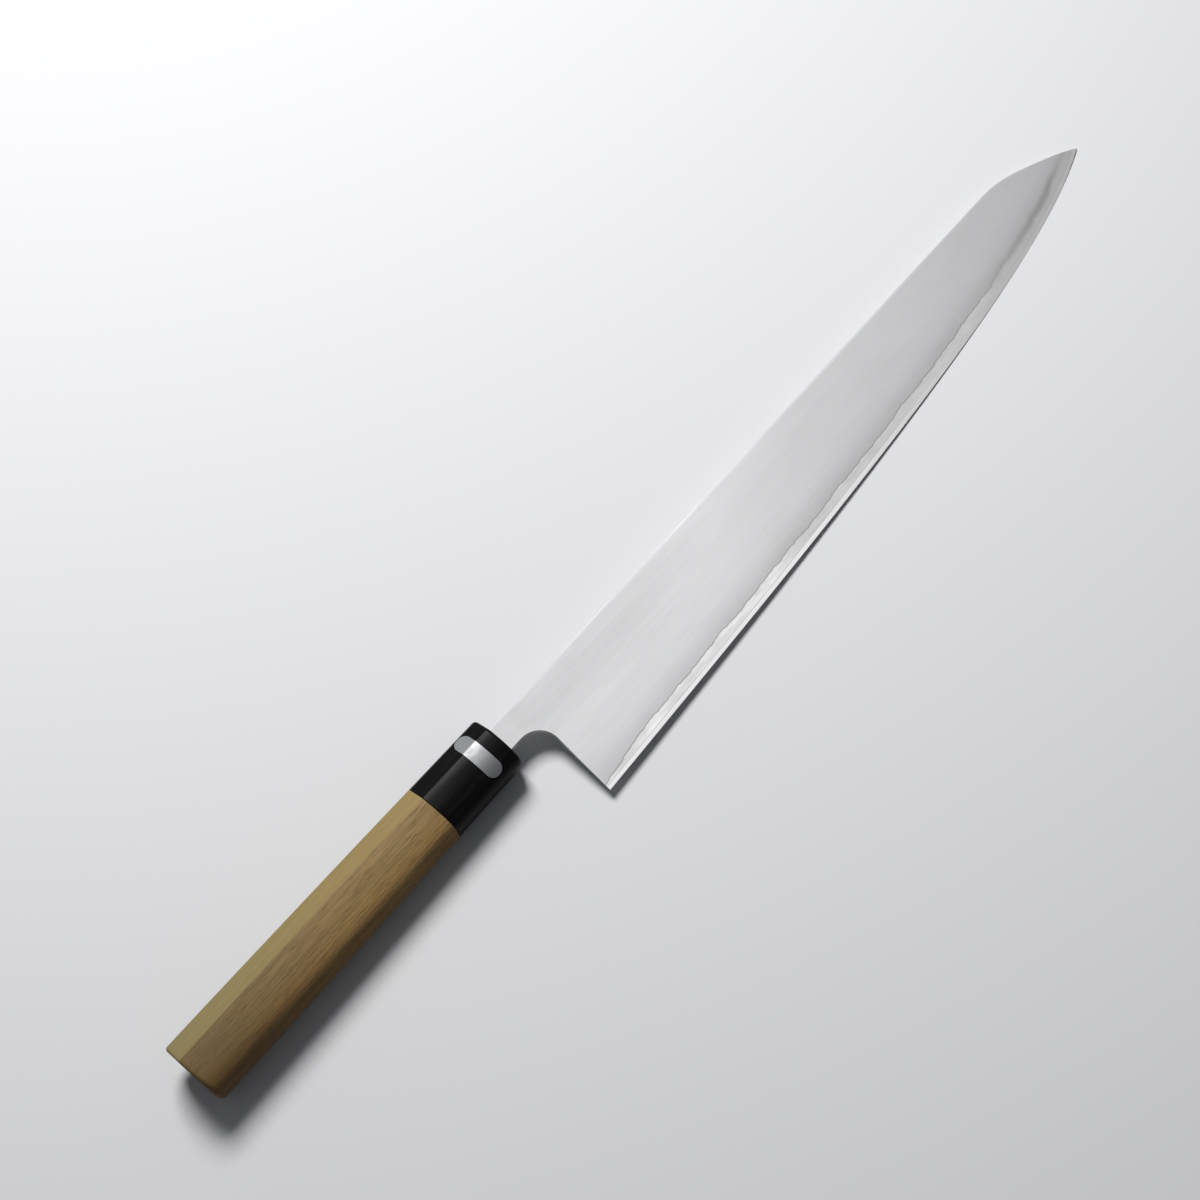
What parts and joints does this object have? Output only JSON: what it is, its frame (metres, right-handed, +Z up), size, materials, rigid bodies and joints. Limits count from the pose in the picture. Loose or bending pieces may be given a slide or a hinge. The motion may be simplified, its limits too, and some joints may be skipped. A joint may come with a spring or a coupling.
{
  "type": "slicing knife",
  "caption": "Long three-layer slicing knife with a clipped tip, a D-shaped pale wooden handle and a black horn ferrule with a bare foil label, lying on its side.",
  "frame": {"origin": "middle of the bounding box, on the surface that the knife lies on", "axes": "+X from the butt to the tip, +Y towards the spine, +Z up; the knife lies on its left side, rolled 7.2 degrees towards the edge and pitched 1.4 degrees down to the tip, as it comes to rest on a table"},
  "size_m": [0.4608, 0.0514, 0.023],
  "materials": {
    "core_steel": "bright, finely ground",
    "cladding_steel": "even satin haze",
    "horn": "polished black buffalo horn, satin gloss",
    "magnolia_wood": "bare sanded magnolia, fine straight grain",
    "seal_resin": "dark resin",
    "bedding_resin": "hard adhesive bed",
    "foil": "bare satin silver foil"
  },
  "bodies": {
    "root": {"core_steel": "core_steel", "cladding_right": "cladding_steel", "cladding_left": "cladding_steel", "horn_ferrule": "horn", "handle_body": "magnolia_wood", "tang_seal": "seal_resin", "tang_bedding": "bedding_resin", "foil_label": "foil"}
  },
  "joints": []
}
